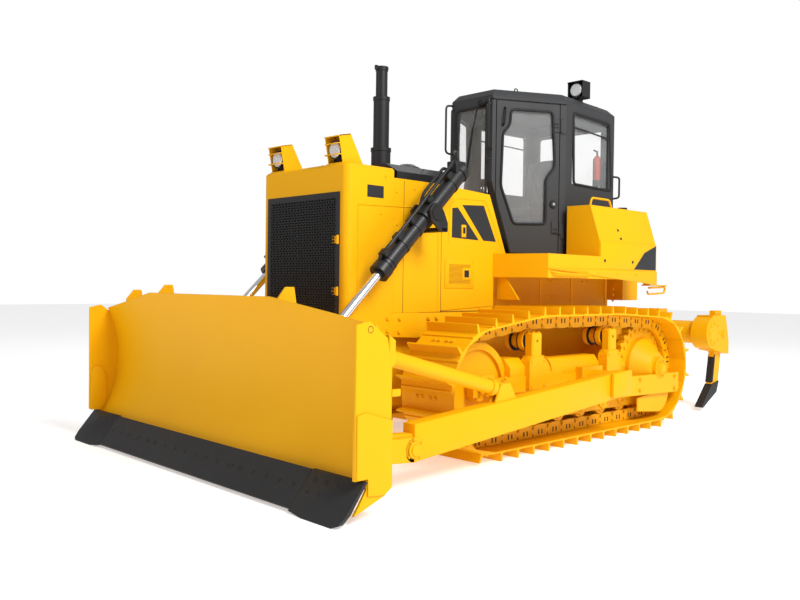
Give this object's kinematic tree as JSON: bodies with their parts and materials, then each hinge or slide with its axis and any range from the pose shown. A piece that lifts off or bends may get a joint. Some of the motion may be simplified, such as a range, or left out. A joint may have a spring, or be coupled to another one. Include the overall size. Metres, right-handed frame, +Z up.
{
  "type": "crawler bulldozer with ripper",
  "caption": "Crawler bulldozer with a straight lifting blade on outer push arms, hexagonal cab with hinged doors, hinged grille and a parallelogram ripper.",
  "frame": {"origin": "on the ground, on the centreline, midway between the blade edge and the ripper's rear", "axes": "+Z up, the blade faces -Y, the machine's left side is +X"},
  "size_m": [3.764, 6.78, 3.545],
  "materials": {
    "yellow_paint": "gloss",
    "black_paint": "satin",
    "cab_paint": "satin",
    "edge_steel": "satin",
    "grille_black": "matte",
    "chrome_rod": "polished",
    "glass": "clear",
    "seat_fabric": "woven",
    "dark_plastic": "moulded",
    "engine_iron": "cast",
    "core_metal": "matte"
  },
  "bodies": {
    "root": {"track_left": "yellow_paint", "track_right": "yellow_paint", "sprocket_left": "yellow_paint", "sprocket_right": "yellow_paint", "final_drive_left": "yellow_paint", "final_drive_right": "yellow_paint", "idler_left": "yellow_paint", "idler_right": "yellow_paint", "track_frame_left": "yellow_paint", "track_frame_right": "yellow_paint", "track_rollers": "yellow_paint", "carrier_rollers": "yellow_paint", "main_frame": "yellow_paint", "engine_block": "engine_iron", "radiator_core": "core_metal", "radiator_guard": "yellow_paint", "engine_hood": "yellow_paint", "hood_cover": "black_paint", "exhaust_stack": "black_paint", "hood_lamps": "yellow_paint", "console": "yellow_paint", "platform": "yellow_paint", "side_tanks": "yellow_paint", "fuel_tank": "yellow_paint", "cab_frame": "cab_paint", "cab_glass": "glass", "cab_floor": "cab_paint", "cab_roof": "cab_paint", "operator_seat": "seat_fabric", "cab_controls": "dark_plastic", "cab_lamps": "dark_plastic", "cylinder_yokes": "yellow_paint", "ripper_bracket": "yellow_paint"},
    "blade": {"moldboard": "yellow_paint", "blade_back": "yellow_paint", "end_plates": "yellow_paint", "cutting_edge": "edge_steel", "push_arm_left": "yellow_paint", "push_arm_right": "yellow_paint", "blade_braces": "yellow_paint", "lift_brackets": "yellow_paint"},
    "lift_barrels": {"lift_barrel_left": "black_paint", "lift_barrel_right": "black_paint"},
    "lift_rods": {"lift_rod_left": "chrome_rod", "lift_rod_right": "chrome_rod"},
    "grille": {"grille_door": "grille_black", "grille_hinges": "yellow_paint"},
    "door_left": {"cab_door_left": "cab_paint", "door_glass_left": "glass"},
    "door_right": {"cab_door_right": "cab_paint", "door_glass_right": "glass"},
    "ripper_arm": {"ripper_arms": "yellow_paint"},
    "ripper_link": {"ripper_links": "yellow_paint"},
    "ripper_tool": {"ripper_beam": "yellow_paint", "ripper_shanks": "yellow_paint", "ripper_teeth": "edge_steel"},
    "ripper_barrel": {"ripper_barrels": "yellow_paint"},
    "ripper_rod": {"ripper_rods": "chrome_rod"}
  },
  "joints": [
    {"name": "blade_lift", "type": "hinge", "parent": "root", "child": "blade", "pos_m": [0, 0.29, 0.555], "axis": [-1, 0, 0], "range_deg": [-8.5, 18.9]},
    {"name": "lift_barrel_swing", "type": "hinge", "parent": "root", "child": "lift_barrels", "pos_m": [0, -1.53, 2.03], "axis": [-1, 0, 0], "range_deg": [-12, 26.5]},
    {"name": "lift_rod_slide", "type": "slide", "parent": "lift_barrels", "child": "lift_rods", "axis": [0, -0.7248, -0.6889], "range_m": [-0.73, 0.33]},
    {"name": "grille_swing", "type": "hinge", "parent": "root", "child": "grille", "pos_m": [0.48, -2.266, 1.6], "axis": [0, 0, -1], "range_deg": [-40, 0]},
    {"name": "door_left_swing", "type": "hinge", "parent": "root", "child": "door_left", "pos_m": [0.62937, 0.52066, 2.5], "axis": [0, 0, 1], "range_deg": [0, 100]},
    {"name": "door_right_swing", "type": "hinge", "parent": "root", "child": "door_right", "pos_m": [-0.62937, 0.52066, 2.5], "axis": [0, 0, -1], "range_deg": [0, 100]},
    {"name": "ripper_lift", "type": "hinge", "parent": "root", "child": "ripper_arm", "pos_m": [0, 1.9, 0.56], "axis": [1, 0, 0], "range_deg": [-28, 32]},
    {"name": "ripper_level", "type": "hinge", "parent": "ripper_arm", "child": "ripper_tool", "pos_m": [0, 2.88, 0.74], "axis": [1, 0, 0], "range_deg": [-33, 29]},
    {"name": "ripper_link_swing", "type": "hinge", "parent": "root", "child": "ripper_link", "pos_m": [0, 1.9, 0.96], "axis": [1, 0, 0], "range_deg": [-29, 33]},
    {"name": "ripper_barrel_swing", "type": "hinge", "parent": "root", "child": "ripper_barrel", "pos_m": [0, 1.86, 0.9], "axis": [1, 0, 0], "range_deg": [-25, 28]},
    {"name": "ripper_rod_slide", "type": "slide", "parent": "ripper_barrel", "child": "ripper_rod", "axis": [0, 0.9265, -0.3764], "range_m": [-0.19, 0.17]}
  ],
  "couplings": [
    {"joint": "lift_barrel_swing", "follows": "blade_lift", "ratio": 1.386},
    {"joint": "lift_rod_slide", "follows": "blade_lift", "m_per_rad": -2.1966},
    {"joint": "ripper_level", "follows": "ripper_lift", "ratio": -1},
    {"joint": "ripper_link_swing", "follows": "ripper_lift", "ratio": 1},
    {"joint": "ripper_barrel_swing", "follows": "ripper_lift", "ratio": 0.76844},
    {"joint": "ripper_rod_slide", "follows": "ripper_lift", "m_per_rad": -0.30256}
  ]
}
